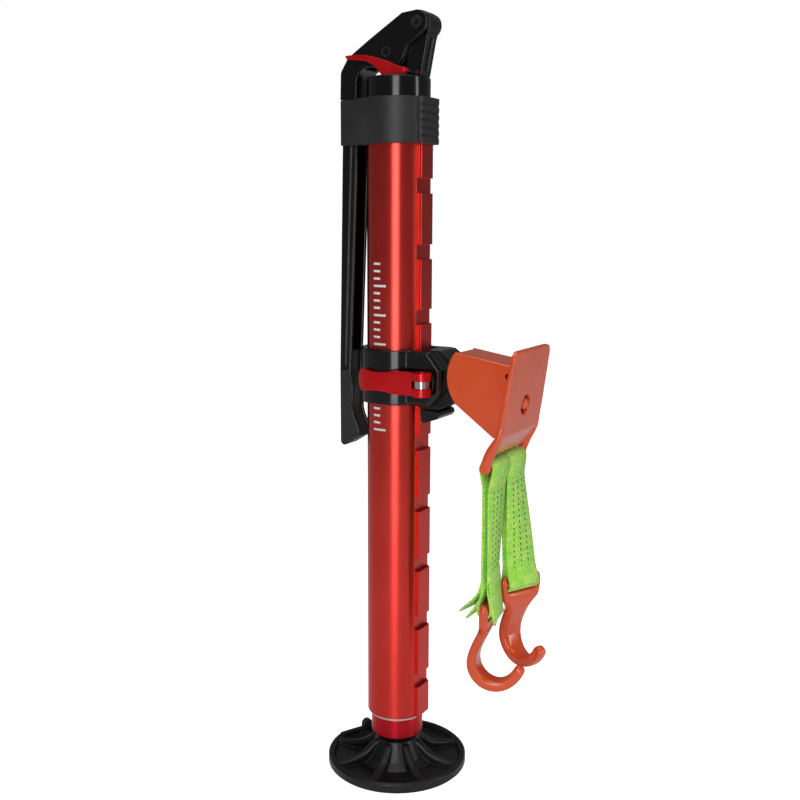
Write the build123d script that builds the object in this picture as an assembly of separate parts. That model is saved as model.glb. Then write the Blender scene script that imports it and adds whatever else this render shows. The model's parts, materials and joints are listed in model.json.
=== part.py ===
from build123d import *
import os
from math import atan2, cos, degrees, hypot, radians, sin, sqrt

os.makedirs("parts", exist_ok=True)

# Toe jack: a foot and hydraulic ram below, a notched barrel that rises on the ram, a carriage that
# clamps on the barrel and carries the toe, and a folding pump handle on top.
# Millimetres, +Z up, +X towards the toe, origin at the centre of the foot's underside.

# ---- driving dimensions ----
FIT = 0.3                       # gap between pieces that move past each other
RUNNING = 0.05                  # radial clearance of a shaft in its hole

FOOT_R = 64.0
FOOT_RIM_Z = 9.5
FOOT_BOSS_Z = 26.0
FOOT_RIBS = 8
FOOT_RIB_START = -37.8          # azimuth of the first rib, degrees
CHORD_AZIMUTH = 153.0           # the flat on the foot's rim faces this way
CHORD_DISTANCE = 57.0

BALL_R = 9.0
BALL_Z = 18.0
SEAT_R = 13.0
SEAT_Z0 = 7.0
RAM_R = 20.0
RAM_WALL = 4.5
CAP_R = 23.6
CAP_Z0, CAP_Z1 = 30.6, 49.4
RAM_TOP_Z = 516.0
PACKING_R = 21.3                # outside of the wiper and the rod seal
WIPER_Z = (56.0, 59.0)
ROD_SEAL_Z = (66.0, 71.0)

BARREL_R = 27.0
BORE_R = 22.0
BARREL_Z0, BARREL_Z1 = 52.5, 590.0
RAIL_X = 28.0
RAIL_HALF = 10.0
RAIL_FOOT_HALF = 12.2
RAIL_FOOT_X = 25.0
NOTCH_FLOOR_X = 24.4
NOTCH_PITCH = 55.0
NOTCH_HEIGHT = 12.5
NOTCH_TOP_Z = 533.7             # upper edge of the highest notch
NOTCHES = 9

HEAD_R = 26.8
HEAD_Z1 = 616.0
PLUG_Z = 546.0                  # underside of the head's plug inside the barrel

PIVOT_X, PIVOT_Z = 23.7, 657.0  # handle pin
MAST_HALF = 8.0
MAST_END_R = 10.0
MAST_PIN_R = 4.0
PIN_CLIP_R = 5.2
CHEEK_IN, CHEEK_OUT = 8.5, 13.0
CHEEK_END_R = 9.5
DRIVE_X, DRIVE_Z = -5.0, 636.0  # pin in the handle that lifts the plunger's yoke
DRIVE_R = 3.5
PUMP_X = -6.0                   # axis of the pump's plunger
PLUNGER_R = 6.5
PLUNGER_Z = 559.0
LINER_Z = 554.0
SEAL_Z = 572.0                  # foot of the head seal
LINER_R = 9.0
BAR_HALF = 10.25
BAR_WALL = 2.0
BAR_TOP_Z = 599.4
BAR_END_Z = 366.0
GRIP_Z = 295.0                  # lowest corner of the grip
RIVET_X = -41.5
RIVET_Z = (575.0, 590.0)
RIVET_R = 2.5

CLIP_Z0, CLIP_Z1 = 561.5, 599.0
CLIP_X = 31.2
CLIP_HALF = 15.8
CLIP_RIBS = 6

LEVER_X, LEVER_Z = 14.4, 619.6  # pivot of the release lever
LEVER_PIN_R = 1.5
LEVER_END_R = 2.7
LEVER_Y0, LEVER_Y1 = -19.8, -14.2

BAND_R = 32.5
BAND_BORE_R = BARREL_R + FIT
BAND_Z0, BAND_Z1 = 343.0, 390.0
CLAMP_IN, CLAMP_OUT = 14.0, 24.0
BOLT_X, BOLT_Z = 42.0, 364.0
BOLT_R = 3.0
CAM_Y = -33.5
CAM_R = 8.0
CAM_PIN_R = 3.0
CAM_HALF = 10.0                 # half the lever's height
CAM_SLOT_HALF = 3.3
BLADE_R = 35.1                  # the blade's middle runs this far from the barrel's axis
BLADE_HALF = 2.0
BLADE_END = -127.0              # azimuth of the blade's tip

LATCH_X0, LATCH_X1 = 31.9, 34.7
LATCH_TRAVEL = 3.9
SPRING_Z = (352.0, 376.0)       # heights of the latch's two springs
KEY_Z = NOTCH_TOP_Z - 3 * NOTCH_PITCH - NOTCH_HEIGHT / 2

TOE_X, TOE_Z = 78.0, 372.0      # hinge of the toe on the carriage's tongue
TOE_DROOP = 8.7                 # degrees that the toe hangs below level
ARM_IN, ARM_OUT = 16.2, 20.0
HINGE_PIN_R = 5.0
PIN_REACH = 18.5                # half length of the toe's hinge pin
PLATE_A0, PLATE_A1 = 41.9, 45.9 # back and front of the toe plate, from the hinge
PLATE_TOP, PLATE_BEND = 32.0, -41.0
BOSS_Y, BOSS_B = 3.0, -16.0     # boss seen through the plate's hole
BOSS_R = 5.6
PLATE_HOLE_R = 8.5
BRACKET_A = 29.9                # front of the web that carries the boss
SLOT_BAR_A, SLOT_BAR_B = 35.5, -68.0
SLOT_BAR_R = 4.5
SLOT_TOP_B = -57.5
SLOT_HALF = 34.4
FRAME_HALF = 39.4

WEB_WIDTH = 33.0
WEB_THICK = 3.0
WEB_SLAB = 6.6                  # two layers sewn together
STRAP_Y = 17.2                  # middle of each strap at the slot, either side of the centre plane
HOOK_EYE_R = 4.0
HOOK_WIDTH = 41.6
HOOK_NECK = 23.0
HOOK_THICK = 8.0
LEFT_EYE = (102.0, -22.6, 178.0, 11.0)      # hook's eye bar: x, y, z and yaw in degrees
RIGHT_EYE = (112.5, 19.5, 188.5, -26.0)


# ---- helpers ----
def tube(r_out, r_in, z0, z1, x=0.0, y=0.0):
    body = Cylinder(r_out, z1 - z0, align=(Align.CENTER, Align.CENTER, Align.MIN))
    if r_in:
        body -= Cylinder(r_in, z1 - z0, align=(Align.CENTER, Align.CENTER, Align.MIN))
    return Pos(x, y, z0) * body


def box(x0, x1, y0, y1, z0, z1):
    centre = Pos((x0 + x1) / 2, (y0 + y1) / 2, (z0 + z1) / 2)
    return centre * Box(x1 - x0, y1 - y0, z1 - z0)


def rod_y(r, x, z, y0, y1):
    return Pos(x, (y0 + y1) / 2, z) * Rot(90, 0, 0) * Cylinder(r, y1 - y0)


def side_prism(sketch, y0, y1):
    """Extrudes a sketch drawn in X and Z so that it fills y0 to y1."""
    return Pos(0, y1, 0) * extrude(Plane.XZ * sketch, y1 - y0, dir=(0, -1, 0))


def front_prism(sketch, x0, x1):
    """Extrudes a sketch drawn in Y and Z so that it fills x0 to x1."""
    return Pos(x0, 0, 0) * extrude(Plane.YZ * sketch, x1 - x0, dir=(1, 0, 0))


def side_polygon(points, y0, y1, radius=0.0):
    sketch = Polygon(*points, align=None)
    if radius:
        sketch = fillet(sketch.vertices(), radius)
    return side_prism(sketch, y0, y1)


def mirrored(body):
    return body + mirror(body, about=Plane.XZ)


def write(name, shape):
    shape.label = name
    export_step(shape, "parts/" + name + ".step")


# ---- foot ----
def foot_plate():
    section = Polyline(
        (0, 0), (FOOT_R - 1.5, 0), (FOOT_R, 1.5), (FOOT_R, FOOT_RIM_Z - 1.5),
        (FOOT_R - 1.5, FOOT_RIM_Z), (FOOT_R - 4, FOOT_RIM_Z), (FOOT_R - 5.5, FOOT_RIM_Z - 1.5),
        (FOOT_R - 7, 4.5), (34, 4), (27, 9), (22, 18), (19, FOOT_BOSS_Z - 1),
        (17.5, FOOT_BOSS_Z), (0, FOOT_BOSS_Z), close=True,
    )
    body = revolve(Plane.XZ * make_face(section), Axis.Z)
    for index in range(FOOT_RIBS):
        body += Rot(0, 0, FOOT_RIB_START + index * 360 / FOOT_RIBS) * foot_rib()
    across = Rot(0, 0, CHORD_AZIMUTH)
    body -= across * box(CHORD_DISTANCE, FOOT_R + 5, -FOOT_R, FOOT_R, -1, FOOT_RIM_Z + 1)
    wall_half = sqrt(FOOT_R**2 - CHORD_DISTANCE**2) - 1
    body += across * box(CHORD_DISTANCE - 4, CHORD_DISTANCE, -wall_half, wall_half, 0, FOOT_RIM_Z)
    body += across * foot_ear()
    body -= tube(SEAT_R, 0, SEAT_Z0, FOOT_BOSS_Z + 1)
    return body


def foot_rib():
    crest = Spline((12, FOOT_BOSS_Z - 2), (22, 23), (33, 14.5), (46, 9.6), (FOOT_R - 4, 8.6))
    outline = make_face(crest + Polyline((FOOT_R - 4, 8.6), (FOOT_R - 4, 1), (12, 1), (12, FOOT_BOSS_Z - 2)))
    rib = side_prism(outline, -4.0, 4.0)
    crests = rib.edges().filter_by(GeomType.BSPLINE)
    return fillet(crests, 3.2)


def foot_ear():
    """A small upright ear on the flat of the rim."""
    ear = Pos(CHORD_DISTANCE - 3, 0, 12.5) * Rot(0, 90, 0) * Cylinder(5.0, 5.6)
    ear += box(CHORD_DISTANCE - 5.8, CHORD_DISTANCE - 0.2, -5, 5, 1, 12.5)
    return fillet(ear.edges().filter_by(GeomType.CIRCLE), 1.2)


def ball_seat():
    body = tube(SEAT_R - RUNNING, 0, SEAT_Z0 + 0.1, 23.0)
    return body - Pos(0, 0, BALL_Z) * Sphere(BALL_R + RUNNING)


def seat_ring():
    return tube(SEAT_R, 8.6, 23.3, FOOT_BOSS_Z)


# ---- ram ----
def ball_stud():
    body = Pos(0, 0, BALL_Z) * Sphere(BALL_R)
    return body + tube(5.5, 0, BALL_Z, CAP_Z0) + tube(6.0, 0, CAP_Z0, 42)


def foot_cap():
    body = tube(CAP_R, 0, CAP_Z0, CAP_Z1)
    body = chamfer(body.edges().group_by(Axis.Z)[0], 1.2)
    body = fillet(body.edges().group_by(Axis.Z)[-1], 0.8)
    return body - tube(6.0, 0, CAP_Z0, 42)


def ram_tube():
    return tube(RAM_R, RAM_R - RAM_WALL, CAP_Z1, RAM_TOP_Z)


def ram_piston():
    body = tube(BORE_R - RUNNING, 0, RAM_TOP_Z, RAM_TOP_Z + 22)
    body += tube(RAM_R - RAM_WALL, 0, RAM_TOP_Z - 14, RAM_TOP_Z)
    body -= tube(BORE_R, 18.0, RAM_TOP_Z + 6, RAM_TOP_Z + 12)
    return body - tube(BORE_R, 20.0, RAM_TOP_Z + 15, RAM_TOP_Z + 19)


def piston_seal():
    return tube(BORE_R - 0.02, 18.0, RAM_TOP_Z + 6, RAM_TOP_Z + 12)


def piston_guide():
    return tube(BORE_R - 0.02, 20.0, RAM_TOP_Z + 15, RAM_TOP_Z + 19)


# ---- barrel ----
def barrel():
    body = tube(BARREL_R, 0, BARREL_Z0, BARREL_Z1)
    body += box(10, RAIL_FOOT_X, -RAIL_FOOT_HALF, RAIL_FOOT_HALF, BARREL_Z0, BARREL_Z1)
    head = box(15, RAIL_X, -RAIL_HALF, RAIL_HALF, BARREL_Z0, BARREL_Z1)
    corners = head.edges().filter_by(Axis.Z).group_by(Axis.X)[-1]
    body += fillet(corners, 0.8)
    for index in range(NOTCHES):
        top = NOTCH_TOP_Z - index * NOTCH_PITCH
        body -= box(NOTCH_FLOOR_X, RAIL_X + 5, -20, 20, top - NOTCH_HEIGHT, top)
    return body - tube(BORE_R, 0, BARREL_Z0 - 1, BARREL_Z1 + 1)


def gland_ring():
    body = tube(24.8, RAM_R + RUNNING, CAP_Z1 + FIT, BARREL_Z0)
    body += tube(BORE_R, RAM_R + RUNNING, BARREL_Z0, 78)
    body -= tube(PACKING_R, RAM_R, *WIPER_Z)
    return body - tube(PACKING_R, RAM_R, *ROD_SEAL_Z)


def rod_wiper():
    return tube(PACKING_R, RAM_R + RUNNING, *WIPER_Z)


def rod_seal():
    return tube(PACKING_R, RAM_R + RUNNING, *ROD_SEAL_Z)


def pump_head():
    body = tube(HEAD_R, 0, BARREL_Z1, HEAD_Z1)
    body = fillet(body.edges().group_by(Axis.Z)[-1], 1.5)
    body += tube(BORE_R, 0, PLUG_Z, BARREL_Z1)
    body -= tube(BORE_R + 1, 20.0, SEAL_Z, SEAL_Z + 4)
    body -= tube(LINER_R, 0, LINER_Z, HEAD_Z1 + 1, PUMP_X)
    body -= tube(3.6, 0, PLUG_Z - 1, LINER_Z, PUMP_X)
    body -= Pos(-14, 14, 0) * tube(4.0, 0, 600, HEAD_Z1 + 1)
    return body


def head_seal():
    return tube(BORE_R, 20.0, SEAL_Z, SEAL_Z + 4)


def pump_liner():
    return tube(LINER_R, PLUNGER_R + RUNNING, LINER_Z, HEAD_Z1 + 1.5, PUMP_X)


def check_valve_parts():
    ball = Pos(PUMP_X, 0, PLUG_Z + 3.2) * Sphere(3.2)
    spring = tube(3.0, 2.0, PLUG_Z + 6.4, PLUNGER_Z - 1, PUMP_X)
    return ball, spring


def filler_plug():
    body = tube(4.0, 0, 602, HEAD_Z1, -14, 14)
    return body + tube(6.0, 0, HEAD_Z1, HEAD_Z1 + 2.5, -14, 14)


def handle_mast():
    outline = Polygon(
        (11.0, HEAD_Z1), (25.3, HEAD_Z1), (30.8, 644.0), (33.2, 652.0), (26.0, 662.0),
        (15.0, 662.0), (14.2, 650.0), align=None,
    )
    body = side_prism(outline, -MAST_HALF, MAST_HALF)
    body += rod_y(MAST_END_R, PIVOT_X, PIVOT_Z, -MAST_HALF, MAST_HALF)
    groove = side_polygon([(24.0, HEAD_Z1 + 4), (40, HEAD_Z1 + 4), (40, 648), (29.6, 646)], -3.6, 3.6)
    body -= groove
    return body - rod_y(MAST_PIN_R, PIVOT_X, PIVOT_Z, -MAST_HALF - 1, MAST_HALF + 1)


def mast_pin():
    end = CHEEK_OUT + 1.6
    body = rod_y(MAST_PIN_R, PIVOT_X, PIVOT_Z, -end, end)
    for y0, y1 in ((-end - 1, -end + 0.8), (end - 0.8, end + 1)):
        body -= rod_y(MAST_PIN_R - 1.6, PIVOT_X, PIVOT_Z, y0, y1)
    return body


def pin_clips():
    clip = rod_y(PIN_CLIP_R, PIVOT_X, PIVOT_Z, -CHEEK_OUT - 1.3, -CHEEK_OUT - FIT)
    clip -= rod_y(MAST_PIN_R, PIVOT_X, PIVOT_Z, -CHEEK_OUT - 2, -CHEEK_OUT)
    return mirrored(clip)


def handle_clip():
    """Moulded clip round the barrel's top, with two jaws that hold the folded handle."""
    ring = CenterArc((0, 0), BARREL_R + 3.3, 0, 360)
    jaw_end = Rectangle(4, 2 * (CHEEK_OUT + 0.4)).edges()
    outline = make_hull([*ring.edges(), *[Pos(-47.6, 0) * edge for edge in jaw_end]])
    outline += Pos((12 + CLIP_X) / 2, 0) * RectangleRounded(CLIP_X - 12, 2 * CLIP_HALF, 2.5)
    body = Pos(0, 0, CLIP_Z0) * extrude(outline, CLIP_Z1 - CLIP_Z0)
    body = fillet(body.edges().group_by(Axis.Z)[0] + body.edges().group_by(Axis.Z)[-1], 0.8)
    body -= tube(BARREL_R, 0, CLIP_Z0 - 1, CLIP_Z1 + 1)
    body -= box(15, RAIL_X, -RAIL_FOOT_HALF, RAIL_FOOT_HALF, CLIP_Z0 - 1, CLIP_Z1 + 1)
    mouth = BAR_HALF + FIT
    body -= box(-60, -BARREL_R - 3, -mouth, mouth, CLIP_Z0 - 1, CLIP_Z1 + 1)
    pitch = (CLIP_Z1 - CLIP_Z0) / CLIP_RIBS
    for index in range(CLIP_RIBS - 1):
        z = CLIP_Z0 + (index + 1) * pitch
        body -= box(CLIP_X - 1.3, CLIP_X + 1, -CLIP_HALF - 1, CLIP_HALF + 1, z - 1.3, z + 1.3)
    return body


# ---- release lever ----
def release_lever():
    top = Spline((-40.8, 634.0), (-27, 634.0), (-13, 631.6), (2, 626.4), (15.6, 619.8))
    edge = Polyline(
        (15.6, 619.8), (16.9, 617.8), (15.2, 616.7), (-5.4, 616.7), (-12, 624.4),
        (-20.9, 628.8), (-39.4, 631.4), (-40.8, 634.0),
    )
    body = side_prism(make_face(top + edge), LEVER_Y0, LEVER_Y1)
    body += rod_y(LEVER_END_R, LEVER_X, LEVER_Z, LEVER_Y0, LEVER_Y1)
    return body - rod_y(LEVER_PIN_R + RUNNING, LEVER_X, LEVER_Z, LEVER_Y0 - 1, LEVER_Y1 + 1)


def lever_screw():
    body = rod_y(LEVER_PIN_R, LEVER_X, LEVER_Z, LEVER_Y0 - 0.4, -MAST_HALF)
    body += rod_y(LEVER_PIN_R + 0.5, LEVER_X, LEVER_Z, LEVER_Y0 - 1.6, LEVER_Y0 - FIT)
    return body - box(LEVER_X - 3, LEVER_X + 3, -30, LEVER_Y0 - 1.1, LEVER_Z - 0.4, LEVER_Z + 0.4)


def lever_spacer():
    body = rod_y(LEVER_END_R, LEVER_X, LEVER_Z, LEVER_Y1 + FIT, -MAST_HALF)
    return body - rod_y(LEVER_PIN_R, LEVER_X, LEVER_Z, LEVER_Y1, -MAST_HALF + 1)


# ---- handle ----
def handle_head():
    outline = Polygon(
        (PIVOT_X, PIVOT_Z + CHEEK_END_R), (10.0, 665.2), (-20.9, 646.8), (-42.2, 633.2),
        (-49.4, 622.0), (-50.0, BAR_TOP_Z), (-34.4, BAR_TOP_Z), (-33.2, 624.8), (6.4, 624.8),
        (10.4, 629.0), (15.0, 639.6), (28.4, 648.4), align=None,
    )
    corners = outline.vertices()
    outer = [v for v in corners if v.X < -40 and v.Y > BAR_TOP_Z + 1]
    outline = fillet(outer, 7.0)
    inner = [v for v in outline.vertices() if abs(v.X + 33.2) < 0.1 and v.Y > 624]
    outline = fillet(inner, 11.0)
    body = side_prism(outline, -CHEEK_OUT, CHEEK_OUT)
    body += rod_y(CHEEK_END_R, PIVOT_X, PIVOT_Z, -CHEEK_OUT, CHEEK_OUT)
    body = body - head_cavity()
    body += box(-47.4, -36.0, -BAR_HALF + BAR_WALL, BAR_HALF - BAR_WALL, 566, BAR_TOP_Z)
    body -= rod_y(MAST_PIN_R + RUNNING, PIVOT_X, PIVOT_Z, -CHEEK_OUT - 1, CHEEK_OUT + 1)
    body -= rod_y(DRIVE_R, DRIVE_X, DRIVE_Z, -CHEEK_OUT - 1, CHEEK_OUT + 1)
    return body - rivet_holes()


def head_cavity():
    """The space between the cheeks, under the sloping top web."""
    outline = [
        (-28, 590), (-28, 634.5), (-18.5, 641.5), (9.0, 658.5), (10.5, 680), (45, 680), (45, 590),
    ]
    return side_polygon(outline, -CHEEK_IN, CHEEK_IN)


def bar_x(z):
    """Outer and inner face of the handle bar at a height."""
    share = (BAR_TOP_Z - z) / (BAR_TOP_Z - BAR_END_Z)
    return -49.6 - 4.9 * share, -34.2 - 9.6 * share


def rivet_holes():
    holes = [rod_y(RIVET_R, RIVET_X, z, -BAR_HALF - 3, BAR_HALF + 3) for z in RIVET_Z]
    return holes[0] + holes[1]


def handle_bar():
    top_out, top_in = bar_x(BAR_TOP_Z)
    end_out, end_in = bar_x(BAR_END_Z)
    body = side_polygon(
        [(top_out, BAR_TOP_Z), (top_in, BAR_TOP_Z), (end_in, BAR_END_Z), (end_out, BAR_END_Z)],
        -BAR_HALF, BAR_HALF,
    )
    backs = [e for e in body.edges() if e.length > 200 and e.center().X < -48]
    body = fillet(backs, 1.6)
    hollow = side_polygon(
        [(top_out + BAR_WALL, BAR_TOP_Z + 1), (0, BAR_TOP_Z + 1), (0, BAR_END_Z - 1),
         (end_out + BAR_WALL, BAR_END_Z - 1)],
        -BAR_HALF + BAR_WALL, BAR_HALF - BAR_WALL,
    )
    press = [(-41.2, 562), (-38.6, 562), (-45.6, 372), (-48.2, 372)]
    for y0, y1 in ((-BAR_HALF - 1, -BAR_HALF + 0.7), (BAR_HALF - 0.7, BAR_HALF + 1)):
        body -= side_polygon(press, y0, y1)
    return body - hollow - rivet_holes()


def handle_rivets():
    rivets = [rod_y(RIVET_R, RIVET_X, z, -BAR_HALF, BAR_HALF) for z in RIVET_Z]
    return rivets[0] + rivets[1]


def handle_grip():
    """Moulded end of the bar: it flares towards the barrel so that a hand can hook it out."""
    end_out, end_in = bar_x(BAR_END_Z)
    inner = Spline((end_in, BAR_END_Z), (-41.6, 353), (-42.4, 330), (-36.4, 316), (-33.6, 308))
    outer = Polyline((-33.6, 308), (end_out, GRIP_Z), (end_out, BAR_END_Z), (end_in, BAR_END_Z))
    outline = make_face(inner + outer)
    outline = fillet(outline.vertices().group_by(Axis.Y)[0], 3.8)
    body = side_prism(outline, -BAR_HALF, BAR_HALF)
    backs = [e for e in body.edges() if e.length > 40 and e.center().X < -53]
    body = fillet(backs, 1.6)
    tang = side_polygon(
        [(end_out + BAR_WALL + 0.3, BAR_END_Z), (end_in - 1, BAR_END_Z), (end_in - 0.5, 384),
         (end_out + BAR_WALL + 0.9, 384)],
        -BAR_HALF + BAR_WALL, BAR_HALF - BAR_WALL,
    )
    return body + tang


# ---- pump plunger ----
def pump_plunger():
    """Plunger with a slotted yoke: the handle's drive pin runs along the slot as it swings."""
    yoke = [
        (-18.2, 629.0), (4.3, 629.0), (4.3, 639.4), (0.3, 643.4), (-13.0, 643.4), (-18.2, 640.0),
    ]
    body = side_polygon(yoke, -CHEEK_IN + FIT, CHEEK_IN - FIT)
    slot = Pos(-6.95, 636.1) * SlotOverall(17.6, 9.0)
    body -= side_prism(slot, -CHEEK_IN, CHEEK_IN)
    body += tube(PLUNGER_R, 0, PLUNGER_Z, 629.5, PUMP_X)
    return body - tube(PLUNGER_R + 0.5, 5.0, PLUNGER_Z + 4, PLUNGER_Z + 7, PUMP_X)


def plunger_seal():
    return tube(PLUNGER_R, 5.0, PLUNGER_Z + 4, PLUNGER_Z + 7, PUMP_X)


def drive_pin():
    return rod_y(DRIVE_R, DRIVE_X, DRIVE_Z, -CHEEK_OUT, CHEEK_OUT)


# ---- carriage ----
def carriage_band():
    body = tube(BAND_R, 0, BAND_Z0, BAND_Z1)
    cheek = [
        (6, BAND_Z0), (42.4, BAND_Z0), (54.2, 356.6), (54.2, 375.2), (42.0, BAND_Z1), (6, BAND_Z1),
    ]
    cheeks = side_polygon(cheek, -CLAMP_OUT, CLAMP_OUT)
    sides = cheeks.faces().sort_by(Axis.Y)
    cheeks = chamfer(sides[0].edges() + sides[-1].edges(), 2.4)
    body += cheeks
    body -= tube(BAND_BORE_R, 0, BAND_Z0 - 1, BAND_Z1 + 1)
    body -= box(14, 60, -CLAMP_IN, CLAMP_IN, BAND_Z0 - 1, BAND_Z1 + 1)
    rims = [e for e in body.edges() if e.geom_type == GeomType.CIRCLE and e.radius > 32]
    body = fillet(rims, 0.8)
    return body - rod_y(BOLT_R + 0.1, BOLT_X, BOLT_Z, -40, 40)


def carriage_block():
    outline = [(28.6, 389), (36, 390.6), (49, 390.6), (62, 381.5), (62, 346.5), (47, 339.6), (28.6, 339.6)]
    body = side_polygon(outline, -CLAMP_IN, CLAMP_IN)
    tongue = box(60, TOE_X + 1, -ARM_IN + FIT, ARM_IN - FIT, TOE_Z - 9, TOE_Z + 9)
    tongue += rod_y(9.0, TOE_X + 1, TOE_Z, -ARM_IN + FIT, ARM_IN - FIT)
    tongue -= box(50, 62, -20, 20, 300, 400)
    body += tongue
    body -= box(28, LATCH_X1 + LATCH_TRAVEL + FIT, -11.3, 11.3, 339, 382.3)
    body -= rod_y(BOLT_R + 0.1, BOLT_X, BOLT_Z, -20, 20)
    body -= rod_y(HINGE_PIN_R + RUNNING, TOE_X, TOE_Z, -20, 20)
    for z in SPRING_Z:
        body -= Pos(44, 0, z) * Rot(0, 90, 0) * Cylinder(2.9, 18)
    return body


def latch_springs():
    springs = []
    for z in SPRING_Z:
        coil = Cylinder(2.6, 17.4) - Cylinder(1.8, 18)
        springs.append(Pos(LATCH_X1 + 0.1 + 8.7, 0, z) * Rot(0, 90, 0) * coil)
    return springs[0] + springs[1]


def cam_washer():
    half = CAM_HALF - 2
    body = box(BOLT_X - 6, BOLT_X + 6, -CLAMP_OUT - 1.2, -CLAMP_OUT, BOLT_Z - half, BOLT_Z + half)
    body = fillet(body.edges().filter_by(Axis.Y), 3.0)
    return body - rod_y(BOLT_R + 0.1, BOLT_X, BOLT_Z, -30, 0)


def tension_bolt():
    body = rod_y(BOLT_R, BOLT_X, BOLT_Z, CAM_Y + 4, 31.5)
    body += tube(6.4, 0, BOLT_Z - 3, BOLT_Z + 3, BOLT_X, CAM_Y)
    return body - tube(CAM_PIN_R + RUNNING, 0, BOLT_Z - 4, BOLT_Z + 4, BOLT_X, CAM_Y)


def bolt_nut():
    nut = Pos(BOLT_X, CLAMP_OUT + 3, BOLT_Z) * Rot(90, 0, 0) * extrude(RegularPolygon(6.4, 6), 3, both=True)
    return nut - rod_y(BOLT_R, BOLT_X, BOLT_Z, 20, 40)


def latch_plate():
    """Key plate: its tooth goes into a notch of the rail, and its foot is the thumb tab below."""
    body = box(LATCH_X0, LATCH_X1, -11, 11, 334, 382)
    curl = [
        (LATCH_X0, 338.8), (LATCH_X0, 329), (33.6, 327.2), (46.4, 331.6), (48.8, 334.6),
        (48.0, 337.6), (45.4, 338.8),
    ]
    tab = side_polygon(curl, -15, 15, 0.9)
    foot, head = KEY_Z - NOTCH_HEIGHT / 2 + 0.5, KEY_Z + NOTCH_HEIGHT / 2 - 0.5
    return body + tab + box(NOTCH_FLOOR_X + FIT, LATCH_X0, -9.5, 9.5, foot, head)


# ---- cam lever ----
def blade_tangent():
    """Azimuth at which a line from the cam pin meets the blade's arc without a corner."""
    reach = hypot(BOLT_X, CAM_Y)
    return degrees(atan2(CAM_Y, BOLT_X)) - degrees(atan2(sqrt(reach**2 - BLADE_R**2), BLADE_R))


def cam_lever():
    start = blade_tangent()
    line = Line((BOLT_X, CAM_Y), (BLADE_R * cos(radians(start)), BLADE_R * sin(radians(start))))
    arc = CenterArc((0, 0), BLADE_R, start, BLADE_END - start)
    blade = trace(line + arc, 2 * BLADE_HALF)
    body = Pos(0, 0, BOLT_Z - CAM_HALF) * extrude(blade, 2 * CAM_HALF)
    tip_edges = body.edges().filter_by(lambda e: e.length < 2 * BLADE_HALF + 1 and e.center().X < -10)
    corners = [e for e in tip_edges if abs(e.tangent_at(0).Z) < 0.1 and e.length > BLADE_HALF]
    body = fillet(corners, CAM_HALF - 0.6)
    for side in (-1, 1):
        waist = Pos(0, 0, BOLT_Z + side * (CAM_HALF + 58)) * Rot(90, 0, 0) * Cylinder(60, 100)
        body -= waist
    body += tube(CAM_R, 0, BOLT_Z - CAM_HALF, BOLT_Z + CAM_HALF, BOLT_X, CAM_Y)
    body -= box(33, 52, -50, -20, BOLT_Z - CAM_SLOT_HALF, BOLT_Z + CAM_SLOT_HALF)
    return body - tube(CAM_PIN_R, 0, BAND_Z0, BAND_Z1, BOLT_X, CAM_Y)


def cam_pin():
    return tube(CAM_PIN_R, 0, BOLT_Z - CAM_HALF + 0.5, BOLT_Z + CAM_HALF - 0.5, BOLT_X, CAM_Y)


# ---- toe ----
def seated(body):
    """Puts a toe piece, drawn level about its hinge, at its hanging angle on the carriage."""
    return Pos(TOE_X, 0, TOE_Z) * Rot(0, TOE_DROOP, 0) * body


def toe_arm():
    left = ThreePointArc((-6.7, -26.2), (-19.1, -4.3), (-15.2, 16.9))
    rest = Polyline((-15.2, 16.9), (PLATE_A0, 16.9), (PLATE_A0, -38.5), (31.5, -45.8), (-6.7, -26.2))
    outline = make_face(left + rest)
    body = side_prism(outline, -ARM_OUT, ARM_OUT)
    ridge = [e for e in body.edges() if e.length > 50 and abs(e.center().Z - 16.9) < 0.1]
    body = fillet(ridge, 2.5)
    body -= box(-30, PLATE_A0 + 1, -ARM_IN, ARM_IN, -60, 13.1)
    body -= box(-30, -13.5, -ARM_IN, ARM_IN, -60, 20)
    body -= rod_y(3.0, 35.5, 7.5, -30, 30)
    body -= rod_y(HINGE_PIN_R, 0, 0, -PIN_REACH, PIN_REACH)
    return seated(body)


def toe_plate():
    profile = Polygon(
        (PLATE_A0, PLATE_TOP), (PLATE_A1, PLATE_TOP), (PLATE_A1, PLATE_BEND + 2), (37.8, -58),
        (37.8, SLOT_BAR_B), (33.2, SLOT_BAR_B), (33.2, -57), (PLATE_A0, PLATE_BEND - 1), align=None,
    )
    bends = [v for v in profile.vertices() if -60 < v.Y < PLATE_BEND + 3]
    profile = fillet(bends, 5.0)
    body = side_prism(profile, -FRAME_HALF, FRAME_HALF)
    body += rod_y(SLOT_BAR_R, SLOT_BAR_A, SLOT_BAR_B, -FRAME_HALF, FRAME_HALF)
    front = Polygon(
        (-37, PLATE_TOP), (37, PLATE_TOP), (40.7, PLATE_BEND), (FRAME_HALF, -50),
        (FRAME_HALF, -73), (-FRAME_HALF, -73), (-FRAME_HALF, -50), (-40.7, PLATE_BEND), align=None,
    )
    front = fillet(front.vertices().group_by(Axis.Y)[-1], 8.0)
    front = fillet(front.vertices().group_by(Axis.Y)[0], 4.0)
    body &= front_prism(front, 0, 60)
    body -= box(20, 60, -SLOT_HALF, SLOT_HALF, SLOT_BAR_B + SLOT_BAR_R - 0.4, SLOT_TOP_B)
    body -= Pos(PLATE_A0, BOSS_Y - 1.5, BOSS_B) * Rot(0, 90, 0) * Cylinder(PLATE_HOLE_R, 16)
    return seated(body)


def toe_boss():
    length = PLATE_A0 - BRACKET_A
    stem = Pos(BRACKET_A + length / 2, BOSS_Y, BOSS_B) * Rot(0, 90, 0) * Cylinder(BOSS_R, length)
    dome = Pos(PLATE_A0, BOSS_Y, BOSS_B) * Sphere(BOSS_R)
    return seated(stem + dome)


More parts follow.
